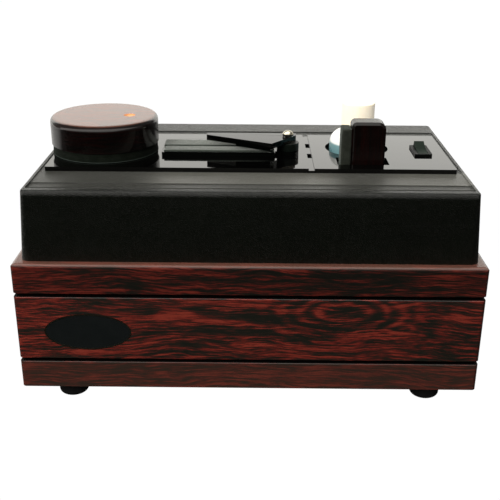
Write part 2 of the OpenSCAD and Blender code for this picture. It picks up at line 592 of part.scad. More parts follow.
// three-pin appliance inlet
module mains_inlet() color(BLACK) difference() {
  union() {
    slab_y(132 - 15.5, 72 - 11.5, 132 + 15.5, 72 + 11.5, in_y, in_y + 2, 2);
    box(132 - 13.5, in_y - 20, 72 - 9.8, 132 + 13.5, in_y + 0.5, 72 + 9.8);
    for (x = [-7, 0, 7]) box(132 + x - 2, in_y - 27, 71.6, 132 + x + 2, in_y - 19, 72.4);
  }
  difference() {
    box(132 - 12, in_y - 15, 72 - 8.2, 132 + 12, in_y + 3, 72 + 8.2);
    box(132 - 7 - 2, in_y - 16, 72 - 3.0, 132 - 7 + 2, in_y - 1, 72 - 1.0);
    box(132 + 7 - 2, in_y - 16, 72 - 3.0, 132 + 7 + 2, in_y - 1, 72 - 1.0);
    box(132 - 2, in_y - 16, 72 + 2.6, 132 + 2, in_y - 1, 72 + 4.6);
  }
}
module slab_y(x0, z0, x1, z1, y0, y1, r) {
  translate([0, y1, 0]) rotate([90, 0, 0]) linear_extrude(y1 - y0) rrect(x0, z0, x1, z1, r);
}
module fuse_holder() color(BLACK) {
  rod_y(in_y, in_y + 1.6, 92, 72, 9);
  rod_y(in_y + 1.5, in_y + 9, 92, 72, 7);
  rod_y(in_y - 30, in_y + 0.1, 92, 72, 6.4);
}
// waste outlet of the tank
module drain_spout() color([0.8, 0.8, 0.78]) difference() {
  union() {
    rod_y(tank_y - 3, in_y + 12, 20, 70, 5);
    rod_y(tank_y, tank_y + 3, 20, 70, 8);
    rod_y(in_y, in_y + 2, 20, 70, 8);
  }
  rod_y(tank_y - 4, in_y + 13, 20, 70, 4);
}
module drain_cap() color(BLACK) difference() {
  rod_y(in_y + 3, in_y + 14, 20, 70, 7.6);
  rod_y(in_y + 2, in_y + 12.3, 20, 70, 5.06);
}
// leads from the inlet to the fuse, the switch and the motor
lead_a = [[139, in_y - 27.6, 72], [139, 70, 72], [148, 50, 92], [157.7, 18, 122], [157.7, 7, 150], [157.7, 7, z_deck - 30.6]];
lead_b = [[157.7, -1, z_deck - 30.6], [157.7, -2, 150], [146, -60, 112], [100, -98, 66], [0, -99, 58], [-80, -92, 60], [-128, -64, 72], [-146, -42, 84]];
lead_c = [[125, in_y - 27.6, 72], [124, 70, 72], [108, 58, 72], [93, 62, 72], [92, in_y - 30.6, 72]];
module wiring() color([0.15, 0.15, 0.17]) for (l = [lead_a, lead_b, lead_c]) tube(smooth(l), 1.5);

cabinet_front();
cabinet_back();
cabinet_left();
cabinet_right();
base_panel();
base_cleats();
base_screws();
feet();
badge_plate();
badge_rim();
cover_cleats();
top_cover();
cover_screws();
deck_plate();
small_screws();
platter();
platter_mat();
spindle();
spindle_bush();
spindle_clip();
label_cap();
cap_pad();
finger_insert();
slot_body();
lip_rear();
lip_front();
suction_funnel();
pivot_post();
slot_arm();
arm_pad();
pivot_stud();
pivot_washer();
arm_knob();
bottle_body();
bottle_fluid();
bottle_cap();
bottle_well();
brush_well();
brush_handle();
brush_pad();
switch_frame();
switch_rocker();
waste_tank();
tank_lid();
fan_housing();
fan_horn();
impeller();
motor_shaft();
motor_can();
motor_stator();
motor_bearings();
motor_bracket();
intake_cuff();
drain_trough();
rear_panel();
mains_inlet();
fuse_holder();
drain_spout();
drain_cap();
wiring();
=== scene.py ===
import math

import bmesh
import bpy
from mathutils import Matrix, Vector, noise


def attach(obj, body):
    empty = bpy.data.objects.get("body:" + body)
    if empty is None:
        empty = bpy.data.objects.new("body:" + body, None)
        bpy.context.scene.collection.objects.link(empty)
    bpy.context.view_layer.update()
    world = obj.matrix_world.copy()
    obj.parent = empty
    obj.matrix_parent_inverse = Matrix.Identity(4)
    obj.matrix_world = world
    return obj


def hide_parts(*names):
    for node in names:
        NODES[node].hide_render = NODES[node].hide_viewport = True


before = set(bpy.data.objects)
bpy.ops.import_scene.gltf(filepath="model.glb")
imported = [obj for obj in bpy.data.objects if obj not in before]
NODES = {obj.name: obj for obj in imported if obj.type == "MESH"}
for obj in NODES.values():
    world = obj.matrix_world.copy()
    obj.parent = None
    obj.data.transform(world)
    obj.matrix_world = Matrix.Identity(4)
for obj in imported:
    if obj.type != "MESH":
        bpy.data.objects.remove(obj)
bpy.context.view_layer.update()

MM = 0.001
scene = bpy.context.scene
scene.view_settings.view_transform = "Standard"
scene.view_settings.look = "None"

# ------------------------------------------------------------------ camera
yaw, pitch, roll = (math.radians(a) for a in (-0.29, 22.551, 0.379))
fwd = Vector((math.sin(yaw) * math.cos(pitch), math.cos(yaw) * math.cos(pitch), -math.sin(pitch)))
right = Vector((math.cos(yaw), -math.sin(yaw), 0.0))
up = right.cross(fwd)
r2 = right * math.cos(roll) + up * math.sin(roll)
u2 = up * math.cos(roll) - right * math.sin(roll)
cam_data = bpy.data.cameras.new("camera")
cam_data.sensor_fit = "HORIZONTAL"
cam_data.sensor_width = 36.0
cam_data.lens = 36.0 * 831.72 / 500.0
cam_data.clip_start, cam_data.clip_end = 0.01, 60.0
cam = bpy.data.objects.new("camera", cam_data)
scene.collection.objects.link(cam)
m = Matrix((r2, u2, -fwd)).transposed().to_4x4()
m.translation = Vector((3.44, -752.4, 409.6)) * MM
cam.matrix_world = m
scene.camera = cam


# ------------------------------------------------------------------ node trees
class Tree:
    """Short hand for one material's node tree. Coordinates are the row frame's metres."""

    def __init__(self, name, **principled):
        self.mat = bpy.data.materials.new(name)
        self.mat.use_nodes = True
        self.t = self.mat.node_tree
        self.t.nodes.clear()
        self.out = self.t.nodes.new("ShaderNodeOutputMaterial")
        self.b = self.t.nodes.new("ShaderNodeBsdfPrincipled")
        self.t.links.new(self.b.outputs[0], self.out.inputs[0])
        self.coord = self.t.nodes.new("ShaderNodeTexCoord").outputs["Object"]
        for k, v in principled.items():
            self.set(k, v)

    def set(self, key, value):
        """Sets or links one socket of the shader: base_color, roughness, coat_weight and so on."""
        name = {"ior": "IOR", "specular": "Specular IOR Level"}.get(key, key.replace("_", " ").title())
        self.put(self.b.inputs[name], value)

    def put(self, sock, value):
        if isinstance(value, bpy.types.NodeSocket):
            self.t.links.new(value, sock)
        elif sock.type == "RGBA" and len(value) == 3:
            sock.default_value = (*value, 1.0)
        else:
            sock.default_value = value

    def n(self, kind, ins=(), out=0, **props):
        nd = self.t.nodes.new("ShaderNode" + kind)
        for k, v in props.items():
            setattr(nd, k, v)
        for k, v in dict(ins).items():
            self.put(nd.inputs[k], v)
        return nd.outputs[out]

    def math(self, op, a, b=0.0, c=0.0, clamp=False):
        return self.n("Math", {0: a, 1: b, 2: c}, operation=op, use_clamp=clamp)

    def add(self, a, b):
        return self.math("ADD", a, b)

    def mul(self, a, b):
        return self.math("MULTIPLY", a, b)

    def xyz(self, vec=None):
        nd = self.t.nodes.new("ShaderNodeSeparateXYZ")
        self.put(nd.inputs[0], vec if vec is not None else self.coord)
        return nd.outputs[0], nd.outputs[1], nd.outputs[2]

    def vec(self, x, y, z):
        return self.n("CombineXYZ", {0: x, 1: y, 2: z})

    def scaled(self, sx, sy, sz, vec=None):
        return self.n("VectorMath", {0: vec if vec is not None else self.coord, 1: (sx, sy, sz)}, operation="MULTIPLY")

    def shifted(self, vec, off):
        return self.n("VectorMath", {0: vec, 1: off}, operation="ADD")

    def noise(self, vec, scale=1.0, detail=3.0, rough=0.55, dist=0.0, lac=2.0):
        return self.n("TexNoise", {"Vector": vec, "Scale": scale, "Detail": detail, "Roughness": rough,
                                   "Distortion": dist, "Lacunarity": lac})

    def voronoi(self, vec, scale, feature="F1", out=0, randomness=1.0):
        ins = {"Vector": vec, "Scale": scale, "Randomness": randomness}
        return self.n("TexVoronoi", ins, feature=feature, out=out)

    def range(self, v, a, b, lo=0.0, hi=1.0, kind="SMOOTHSTEP"):
        return self.n("MapRange", {0: v, 1: a, 2: b, 3: lo, 4: hi}, interpolation_type=kind)

    def ramp(self, v, stops, kind="LINEAR"):
        nd = self.t.nodes.new("ShaderNodeValToRGB")
        nd.color_ramp.interpolation = kind
        els = nd.color_ramp.elements
        while len(els) < len(stops):
            els.new(0.5)
        for e, (p, c) in zip(els, stops):
            e.position = p
            e.color = (*c, 1.0) if len(c) == 3 else c
        self.put(nd.inputs[0], v)
        return nd.outputs[0]

    def mix(self, fac, a, b, blend="MIX"):
        nd = self.t.nodes.new("ShaderNodeMix")
        nd.data_type = "RGBA"
        nd.blend_type = blend
        self.put(nd.inputs[0], fac)
        self.put(nd.inputs[6], a)
        self.put(nd.inputs[7], b)
        return nd.outputs[2]

    def lerp(self, fac, a, b):
        nd = self.t.nodes.new("ShaderNodeMix")
        self.put(nd.inputs[0], fac)
        self.put(nd.inputs[2], a)
        self.put(nd.inputs[3], b)
        return nd.outputs[0]

    def bump(self, height, depth, normal=None, strength=1.0):
        """A height from 0 to 1 as a relief, depth metres deep."""
        ins = {"Height": height, "Distance": depth, "Strength": strength}
        if normal is not None:
            ins["Normal"] = normal
        return self.n("Bump", ins)


def rolled(T, z, start, full, slope=0.9):
    """Shading of an edge that rolls over: the normal leans up from start to full (mm) and on over the round above."""
    t = T.math("MAXIMUM", T.math("SUBTRACT", T.mul(z, 1000.0), start), 0.0)
    span = full - start
    low = T.math("MINIMUM", t, span)
    fall = T.add(T.mul(T.mul(low, low), 0.5 / span), T.math("SUBTRACT", t, low))
    return T.bump(T.mul(fall, -slope * MM), 1.0)


def rosewood(name, along, across, depth, seed=0.0, eyes=(), sweeps=(), pitch_mm=8.6, coat=0.6, dark=1.0, sway=1.0,
             tilt=0.30, lift=0.0, pale_above=None, floor_reflection_below=None, face=None, base_spec=0.35, calm=1.0, painted_highlight_top=None, roll=None):
    """Red and black streaked rosewood under lacquer. along, across and depth are axis numbers. Each eye is a nest of
    rings in the figure: (along, across, aspect, first dark ring, ring pitch, reach, strength). Each sweep is one broad
    streak: (along, across, slope, curve, half length, half width, strength). All of them are in millimetres."""
    T = Tree(name, ior=1.5, specular=base_spec)
    p = T.xyz()
    u, v, w = p[along], p[across], p[depth]
    # slow sway of the grain
    bend = T.noise(T.shifted(T.vec(T.mul(u, 6.0), T.mul(v, 14.0), T.mul(w, 14.0)), (seed, 1.7 * seed, 0.3)), 1.0, 2.0, 0.5)
    kink = T.noise(T.shifted(T.vec(T.mul(u, 30.0), T.mul(v, 60.0), T.mul(w, 40.0)), (1.0 + seed, 4.0, 0.6)), 1.0, 2.0, 0.55)
    ring = T.add(v, T.mul(T.math("SUBTRACT", bend, 0.5), 0.034 * sway))
    ring = T.add(ring, T.mul(T.math("SUBTRACT", kink, 0.5), 0.005 * sway))
    ring = T.add(ring, T.mul(w, tilt))
    k = 1000.0 / pitch_mm
    broad = T.noise(T.shifted(T.vec(T.mul(u, 13.0), T.mul(ring, k * 1.5), T.mul(w, 9.0)), (seed * 3.1, seed, 5.0)), 1.0, 2.0, 0.5, 0.15)
    fine = T.noise(T.shifted(T.vec(T.mul(u, 34.0), T.mul(ring, k * 5.2), T.mul(w, 40.0)), (1.3, seed * 2.0, 7.0)), 1.0, 3.0, 0.66, 0.25)
    fibre = T.noise(T.shifted(T.vec(T.mul(u, 95.0), T.mul(ring, k * 11.0), T.mul(w, 300.0)), (9.0, seed, 2.0)), 1.0, 2.0, 0.6)
    tone = T.add(T.mul(T.math("SUBTRACT", broad, 0.5), 1.5), T.mul(T.math("SUBTRACT", fine, 0.5), 2.9))
    tone = T.mul(T.add(tone, T.mul(T.math("SUBTRACT", fibre, 0.5), 1.6)), calm)
    jag = T.mul(T.math("SUBTRACT", T.add(T.mul(kink, 1.6), fine), 1.3), 7.0)
    for eu, ev, aspect, first, pitch, reach, strength in eyes:
        du = T.mul(T.math("SUBTRACT", u, eu * MM), 1000.0 / aspect)
        dv = T.mul(T.math("SUBTRACT", v, ev * MM), 1000.0)
        r = T.add(T.math("SQRT", T.add(T.mul(du, du), T.mul(dv, dv))), T.mul(jag, 0.62))
        wave = T.math("COSINE", T.mul(T.math("SUBTRACT", T.math("MAXIMUM", r, first - pitch), first), 2 * math.pi / pitch))
        near = T.mul(T.range(r, reach * 0.35, reach, 1.0, 0.0), T.range(v, 0.1055, 0.1062, 1.0, 0.0))
        tone = T.add(tone, T.mul(T.mul(wave, near), -strength))
    for su, sv, slope, curve, half, width, strength in sweeps:
        du = T.mul(T.math("SUBTRACT", u, su * MM), 1000.0)
        dv = T.math("SUBTRACT", T.mul(T.math("SUBTRACT", v, sv * MM), 1000.0),
                    T.add(T.mul(du, slope), T.mul(T.mul(du, du), curve)))
        dv = T.mul(T.add(dv, T.mul(jag, 0.8)), 1.0 / width)
        du = T.mul(du, 1.0 / half)
        tone = T.add(tone, T.mul(T.math("EXPONENT", T.mul(T.add(T.mul(du, du), T.mul(dv, dv)), -1.0)), strength))
    field = T.noise(T.vec(T.mul(u, 8.0), T.mul(v, 22.0), T.mul(w, 9.0)), 1.0, 1.0, 0.5)
    tone = T.add(tone, T.mul(T.math("SUBTRACT", field, 0.5), 0.55))
    colour = T.ramp(T.add(tone, 0.5 + lift), [
        (0.00, (0.0090 * dark, 0.0094 * dark, 0.0070 * dark)),
        (0.22, (0.0135 * dark, 0.0115 * dark, 0.0085 * dark)),
        (0.40, (0.0300 * dark, 0.0112 * dark, 0.0086 * dark)),
        (0.56, (0.0640 * dark, 0.0118 * dark, 0.0088 * dark)),
        (0.76, (0.1240 * dark, 0.0150 * dark, 0.0105 * dark)),
        (1.00, (0.1950 * dark, 0.0290 * dark, 0.0180 * dark)),
    ])
    # dark pores, short dashes that follow the grain
    pore = T.noise(T.shifted(T.vec(T.mul(u, 170.0), T.mul(ring, 2600.0), T.mul(w, 2000.0)), (seed, 4.0, 1.0)), 1.0, 1.0, 0.5)
    pores = T.range(pore, 0.60, 0.70)
    colour = T.mix(T.mul(pores, 0.6), colour, (0.006, 0.0055, 0.0045))
    if floor_reflection_below is not None:
        # painted reflection: below this height the board is mixed towards a greyer brown, standing in for the bright
        # floor it mirrors
        colour = T.mix(T.range(v, (floor_reflection_below - 4) * MM, (floor_reflection_below + 4) * MM, 0.50, 0.0), colour, (0.044, 0.025, 0.0180))
    if painted_highlight_top is not None:
        # the top board is darker, and its rounded top edge carries a painted highlight, a warm brown band standing in
        # for the light it catches
        colour = T.mix(T.range(v, 105.5 * MM, 107.0 * MM, 0.0, 0.42), colour, (0.0022, 0.0016, 0.0012))
        colour = T.mix(T.range(T.add(v, T.mul(T.math("SUBTRACT", fine, 0.5), 0.002)), (painted_highlight_top - 2.6) * MM, painted_highlight_top * MM, 0.0, 0.52), colour, (0.200, 0.080, 0.055))
    if pale_above is not None:
        z = p[2]
        colour = T.mix(T.range(z, (pale_above - 1.6) * MM, pale_above * MM, 0.0, 0.75), colour,
                       T.mix(T.range(fine, 0.35, 0.65), (0.115, 0.050, 0.030), (0.250, 0.088, 0.056)))
    rough = T.range(fine, 0.3, 0.7, 0.38, 0.50)
    if face is None:
        T.b.inputs["Coat Weight"].default_value = coat
    else:
        # the saw grooves are black inside and have no lacquer
        inside = T.range(T.math("ABSOLUTE", w), (face - 0.75) * MM, (face - 0.45) * MM, 1.0, 0.0)
        band = T.math("MAXIMUM", *[T.range(T.math("ABSOLUTE", T.math("SUBTRACT", v, c * MM)), 1.95 * MM, 2.05 * MM, 1.0, 0.0)
                                   for c in (106.2, 44.8)])
        groove = T.mul(inside, band)
        colour = T.mix(groove, colour, (0.0010, 0.0009, 0.0008))
        rough = T.lerp(groove, rough, 0.95)
        T.set("coat_weight", T.mul(T.math("SUBTRACT", 1.0, groove), coat))
    T.set("base_color", colour)
    T.set("roughness", rough)
    T.b.inputs["Coat Roughness"].default_value = 0.08
    T.b.inputs["Coat IOR"].default_value = 1.5
    edge = rolled(T, p[2], *roll) if roll else None
    relief = T.bump(T.add(T.mul(fine, 0.5), T.mul(pores, -0.5)), 0.00005, edge)
    T.set("normal", relief)
    # the lacquer lies over the pores and rolls a little
    film = T.noise(T.scaled(70.0, 70.0, 70.0), 1.0, 2.0, 0.5)
    T.put(T.b.inputs["Coat Normal"], T.bump(film, 0.00004, edge))
    return T.mat


FRONT_EYES = [(79.1, 92.5, 2.6, 11.4, 6.0, 36.0, 0.27), (130.0, 78.0, 2.2, 8.2, 5.2, 15.0, 0.22)]
FRONT_SWEEPS = [
    (-5, 88.7, -0.16, 0, 75, 4.0, -0.55), (-40, 83.5, -0.08, -0.0008, 70, 3.2, 0.36), (-30, 75.8, 0, -0.0018, 75, 3.0, -0.48),
    (-40, 67.5, 0, 0, 45, 1.8, 0.26), (-50.7, 63.6, 0, 0, 16, 2.2, -0.36), (-40, 121.5, 0, -0.0008, 60, 2.6, -0.42),
    (25, 127.3, 0, 0, 35, 2.6, -0.45), (-50, 114.3, 0, 0, 40, 2.2, 0.22), (-95.7, 113, 0, 0, 9, 9, -0.42),
    (130, 119, 0, 0, 70, 12, -0.26), (172, 63, 0.3, 0, 14, 3.2, -0.36), (153.5, 77, 0, 0, 4.5, 8, -0.42),
    (-150, 96, 0.05, 0, 40, 4.5, -0.26), (-125, 93, 0, 0, 14, 3, 0.30), (-60, 100.5, 0, 0, 26, 2.2, 0.22),
    (-86, 91, 0, 0, 10, 5, -0.32), (30, 96, -0.03, 0, 40, 3, 0.26), (104, 88, -0.16, 0, 22, 2.6, -0.34),
]
wood_front = rosewood("rosewood_front", 0, 2, 1, 2.0, FRONT_EYES, FRONT_SWEEPS, floor_reflection_below=45, face=125.0, lift=0.02, painted_highlight_top=134.0)
wood_back = rosewood("rosewood_back", 0, 2, 1, 9.0, [(-70, 78, 2.4, 12, 9, 34, 0.35)], [(60, 100, 0.05, 0, 80, 4, -0.4)],
                     face=125.0, painted_highlight_top=134.0)
wood_left = rosewood("rosewood_left", 1, 2, 0, 14.0, [(-30, 80, 2.4, 12, 9, 34, 0.35)], [(40, 60, 0.06, 0, 60, 4, -0.4)],
                     face=198.5, painted_highlight_top=134.0)
wood_right = rosewood("rosewood_right", 1, 2, 0, 21.0, [(20, 76, 2.3, 13, 9, 36, 0.35)], [(-60, 95, -0.06, 0, 50, 4, -0.4)],
                      face=198.5, painted_highlight_top=134.0)
wood_cap = rosewood("rosewood_cap", 0, 2, 1, 5.0, [], [], pitch_mm=6.0, coat=0.72, dark=0.05, calm=0.6, tilt=0.22, pale_above=231.15, roll=(225.2, 228.4),
                    base_spec=0.08)
wood_handle = rosewood("rosewood_handle", 2, 0, 1, 31.0, [], [], pitch_mm=5.0, coat=0.5, dark=0.06, calm=0.4, sway=0.6, base_spec=0.12)


def leather_abs(name):
    """Black moulded sheet with a fine leather grain."""
    T = Tree(name, ior=1.52, specular=0.5)
    cell = T.voronoi(T.shifted(T.coord, (0.3, 0.2, 0.1)), 760.0, "DISTANCE_TO_EDGE")
    pebbles = T.range(cell, 0.0, 0.34, 0.0, 1.0)
    crease = T.noise(T.coord, 1500.0, 2.0, 0.6)
    wear = T.noise(T.coord, 22.0, 3.0, 0.6)
    x, y, z = T.xyz()
    # painted sheen: the strip from the deck's edge to the front channel takes a lighter dusty tone, partly dust and
    # partly a painted reflection of the backdrop on the grain
    painted_sheen_strip = T.mul(T.mul(T.range(y, -0.0897, -0.0890, 0.22, 1.0), T.range(y, -0.1085, -0.1065, 0.0, 1.0)), T.range(z, 0.1920, 0.1924, 0.0, 1.0))
    painted_sheen_strip = T.mul(painted_sheen_strip, T.range(y, -0.056, -0.054, 1.0, 0.0))
    # painted shade: clear holds the painted sheen back in front of the puck and the brush, standing in for their dark
    # reflections
    clear = T.mul(T.range(x, -0.105, -0.060, 0.3, 1.0),
                  T.math("MAXIMUM", T.range(x, 0.060, 0.088, 1.0, 0.45), T.range(x, 0.106, 0.134, 0.45, 1.0)))
    clear = T.math("MAXIMUM", clear, T.range(y, -0.091, -0.088, 1.0, 0.0))
    speck = T.noise(T.coord, 1300.0, 2.0, 0.7)
    # dust here carries both the dust speckle and the painted sheen of the top strip
    dust = T.mul(T.mul(painted_sheen_strip, clear), T.range(speck, 0.30, 0.70, 0.35, 1.0))
    shell = T.mix(T.range(wear, 0.3, 0.8), (0.0005, 0.0009, 0.0003), (0.0011, 0.0017, 0.0008))
    shell = T.mix(T.mul(T.range(speck, 0.50, 0.64, 0.0, 1.0), T.range(cell, 0.0, 0.30, 0.4, 1.0)), shell, (0.0048, 0.0066, 0.0038))
    T.set("base_color", T.mix(dust, shell, (0.110, 0.108, 0.094)))
    T.set("roughness", T.lerp(T.range(speck, 0.35, 0.65), 0.30, 0.46))
    T.b.inputs["Sheen Weight"].default_value = 0.14
    T.b.inputs["Sheen Roughness"].default_value = 0.22
    T.b.inputs["Sheen Tint"].default_value = (0.96, 0.98, 0.90, 1.0)
    fine = T.bump(crease, 0.00006, rolled(T, z, 189.6, 193.0))
    T.set("normal", T.bump(pebbles, 0.00017, fine))
    return T.mat


def acrylic(name, shade=0.0009, **extra):
    """Polished black sheet, with the faint haze that wiping leaves."""
    T = Tree(name, ior=1.49, **extra)
    wipe = T.noise(T.scaled(40.0, 220.0, 60.0), 1.0, 4.0, 0.7, 0.4)
    dust = T.noise(T.coord, 2600.0, 1.0, 0.5)
    T.set("base_color", T.mix(T.range(dust, 0.66, 0.78, 0.0, 0.4), (shade, shade, shade * 0.95), (0.010, 0.010, 0.0095)))
    T.set("roughness", T.range(wipe, 0.35, 0.8, 0.025, 0.075))
    T.set("normal", T.bump(T.noise(T.coord, 45.0, 1.0, 0.5), 0.00002))
    return T.mat


def plastic(name, colour, lift=1.6, rough=(0.32, 0.42), grain=1400.0, depth=0.00003, **extra):
    """Moulded plastic with a faint texture from the tool, and a slightly polished look where it is handled."""
    T = Tree(name, ior=1.5, **extra)
    tone = T.noise(T.coord, 60.0, 3.0, 0.6)
    light = tuple(min(1.0, c * lift) for c in colour)
    T.set("base_color", T.mix(T.range(tone, 0.3, 0.75), colour, light))
    T.set("roughness", T.range(T.noise(T.coord, 35.0, 3.0, 0.6), 0.3, 0.7, rough[0], rough[1]))
    T.set("normal", T.bump(T.noise(T.coord, grain, 2.0, 0.5), depth))
    return T.mat


def metal(name, colour, rough=(0.2, 0.32), brushed=None, depth=0.00002, stain=(0.5, 0.45, 0.38)):
    """Bare or plated metal: brushed is the scale along each axis of its machining marks."""
    T = Tree(name, metallic=1.0, ior=2.0)
    marks = T.noise(T.scaled(*(brushed or (900.0, 900.0, 900.0))), 1.0, 3.0, 0.6)
    tarnish = T.noise(T.coord, 120.0, 4.0, 0.65)
    T.set("base_color", T.mix(T.range(tarnish, 0.52, 0.85, 0.0, 0.4), colour, tuple(a * b for a, b in zip(colour, stain))))
    T.set("roughness", T.range(marks, 0.3, 0.7, rough[0], rough[1]))
    T.set("normal", T.bump(marks, depth))
    return T.mat


def cream_plastic(name):
    """Thin cream moulding that lets light through; its glow from behind is painted, an emission that stands in for that
    light.
    """
    T = Tree(name, ior=1.5)
    x, y, z = T.xyz()
    tone = T.noise(T.coord, 60.0, 3.0, 0.6)
    body = T.mix(T.range(tone, 0.3, 0.75), (0.88, 0.78, 0.60), (0.92, 0.83, 0.66))
    T.set("base_color", body)
    T.set("roughness", T.range(T.noise(T.coord, 35.0, 3.0, 0.6), 0.3, 0.7, 0.34, 0.44))
    T.set("normal", T.bump(T.noise(T.coord, 900.0, 2.0, 0.5), 0.00002))
    # painted glow: an emission, brighter towards the top, stands in for light coming through the thin wall from behind
    T.set("emission_color", T.mix(T.range(z, 0.222, 0.241, 0.0, 1.0), (0.90, 0.86, 0.74), (1.0, 0.93, 0.80)))
    T.b.inputs["Emission Strength"].default_value = 0.34
    T.b.inputs["Subsurface Weight"].default_value = 0.3
    T.b.inputs["Subsurface Radius"].default_value = (1.0, 0.9, 0.7)
    T.b.inputs["Subsurface Scale"].default_value = 0.004
    return T.mat


def brass_knob(name, foot):
    """Polished brass dome over a black foot, foot being the height where the black ends."""
    T = Tree(name, ior=1.8)
    z = T.xyz()[2]
    marks = T.noise(T.scaled(500.0, 500.0, 2600.0), 1.0, 3.0, 0.6)
    tarnish = T.noise(T.coord, 260.0, 4.0, 0.65)
    dome = T.range(z, foot - 0.0001, foot + 0.0001, 0.0, 1.0)
    bright = T.mix(T.range(tarnish, 0.5, 0.85, 0.0, 0.45), (0.78, 0.73, 0.58), (0.42, 0.36, 0.22))
    T.set("base_color", T.mix(dome, (0.006, 0.0065, 0.005), bright))
    T.set("metallic", dome)
    T.set("roughness", T.lerp(dome, 0.32, T.range(marks, 0.3, 0.7, 0.12, 0.22)))
    T.set("normal", T.bump(marks, 0.000012))
    return T.mat


def rubber(name, colour=(0.012, 0.012, 0.0115), rough=(0.52, 0.68)):
    T = Tree(name, ior=1.5, specular=0.4)
    bloom = T.noise(T.coord, 90.0, 4.0, 0.7)
    T.set("base_color", T.mix(T.range(bloom, 0.45, 0.85), colour, tuple(c * 2.2 + 0.004 for c in colour)))
    T.set("roughness", T.range(T.noise(T.coord, 300.0, 2.0, 0.5), 0.3, 0.7, rough[0], rough[1]))
    T.set("normal", T.bump(T.noise(T.coord, 1100.0, 3.0, 0.6), 0.00008))
    return T.mat


def felt(name, dark, light, sheen, tint, nap=(2200.0, 2200.0, 2200.0), depth=0.00016, rim_highlight_below=None):
    """Short-napped felt: a mat of fine fibres, lighter where the nap stands towards the light."""
    T = Tree(name, ior=1.4, specular=0.15, roughness=0.92)
    tuft = T.noise(T.scaled(*nap), 1.0, 4.0, 0.75, 0.6)
    lay = T.noise(T.coord, 160.0, 3.0, 0.6)
    thread = T.noise(T.shifted(T.scaled(nap[0] * 0.35, nap[1] * 2.4, nap[2] * 0.35), (3.0, 1.0, 2.0)), 1.0, 2.0, 0.6, 0.8)
    tone = T.add(T.mul(T.range(tuft, 0.3, 0.7), 0.55), T.mul(T.range(lay, 0.35, 0.65), 0.45))
    colour = T.mix(tone, dark, light)
    colour = T.mix(T.range(thread, 0.64, 0.78, 0.0, 0.5), colour, tuple(c * 1.9 for c in light))
    if rim_highlight_below:
        # painted highlight: below this height the cloth is lighter, a band standing in for the light caught by the
        # platter's bottom rim
        z = T.xyz()[2]
        colour = T.mix(T.range(z, rim_highlight_below - 0.0001, rim_highlight_below + 0.0001, 1.0, 0.0), colour, (0.030, 0.038, 0.033))
    T.set("base_color", colour)
    T.b.inputs["Sheen Weight"].default_value = sheen
    T.b.inputs["Sheen Roughness"].default_value = 0.35
    T.b.inputs["Sheen Tint"].default_value = (*tint, 1.0)
    T.set("normal", T.bump(T.add(T.mul(tuft, 0.7), T.mul(thread, 0.3)), depth))
    return T.mat


def raw_timber(name, light, dark, along=0, scale=520.0):
    """Sawn softwood with its growth lines."""
    T = Tree(name, ior=1.45, specular=0.25)
    p = T.xyz()
    u = p[along]
    v, w = [p[i] for i in range(3) if i != along]
    ring = T.noise(T.vec(T.mul(u, 9.0), T.mul(v, scale), T.mul(w, scale * 0.6)), 1.0, 3.0, 0.6, 0.4)
    saw = T.noise(T.vec(T.mul(u, 700.0), T.mul(v, 120.0), T.mul(w, 120.0)), 1.0, 2.0, 0.6)
    T.set("base_color", T.mix(T.range(ring, 0.35, 0.68), light, dark))
    T.set("roughness", T.range(saw, 0.3, 0.7, 0.62, 0.8))
    T.set("normal", T.bump(T.add(T.mul(ring, 0.6), T.mul(saw, 0.4)), 0.00012))
    return T.mat


def hardboard(name):
    """Brown fibreboard: matted fibres, smooth on its face."""
    T = Tree(name, ior=1.45, specular=0.3)
    fibre = T.noise(T.scaled(260.0, 900.0, 900.0), 1.0, 4.0, 0.7, 1.2)
    cloud = T.noise(T.coord, 30.0, 3.0, 0.6)
    c = T.mix(T.range(fibre, 0.3, 0.75), (0.060, 0.030, 0.014), (0.135, 0.075, 0.036))
    T.set("base_color", T.mix(T.range(cloud, 0.3, 0.8, 0.0, 0.45), c, (0.040, 0.022, 0.012)))
    T.set("roughness", T.range(fibre, 0.3, 0.7, 0.48, 0.66))
    T.set("normal", T.bump(fibre, 0.00008))
    return T.mat


def bottle_skin(name, level):
    """Milky bottle wall: white where it is empty, blue-green where the fluid stands behind it."""
    T = Tree(name, ior=1.5, specular=0.5)
    z = T.xyz()[2]
    ripple = T.noise(T.coord, 90.0, 2.0, 0.5)
    line = T.add(T.mul(T.math("SUBTRACT", z, level), 1000.0), T.mul(T.math("SUBTRACT", ripple, 0.5), 1.2))
    wet = T.range(line, -1.2, 0.7, 1.0, 0.0)
    depth = T.range(z, level - 0.016, level, 0.0, 1.0)
    fluid = T.mix(depth, (0.085, 0.185, 0.205), (0.190, 0.345, 0.365))
    milk = T.mix(T.noise(T.coord, 50.0, 3.0, 0.6), (0.80, 0.82, 0.79), (0.90, 0.91, 0.88))
    T.set("base_color", T.mix(wet, milk, fluid))
    T.set("roughness", T.range(T.noise(T.coord, 120.0, 3.0, 0.6), 0.3, 0.7, 0.26, 0.36))
    T.set("normal", T.bump(T.noise(T.coord, 160.0, 3.0, 0.5), 0.00008))
    T.b.inputs["Subsurface Weight"].default_value = 0.35
    T.b.inputs["Subsurface Radius"].default_value = (1.0, 1.0, 1.0)
    T.b.inputs["Subsurface Scale"].default_value = 0.003
    return T.mat


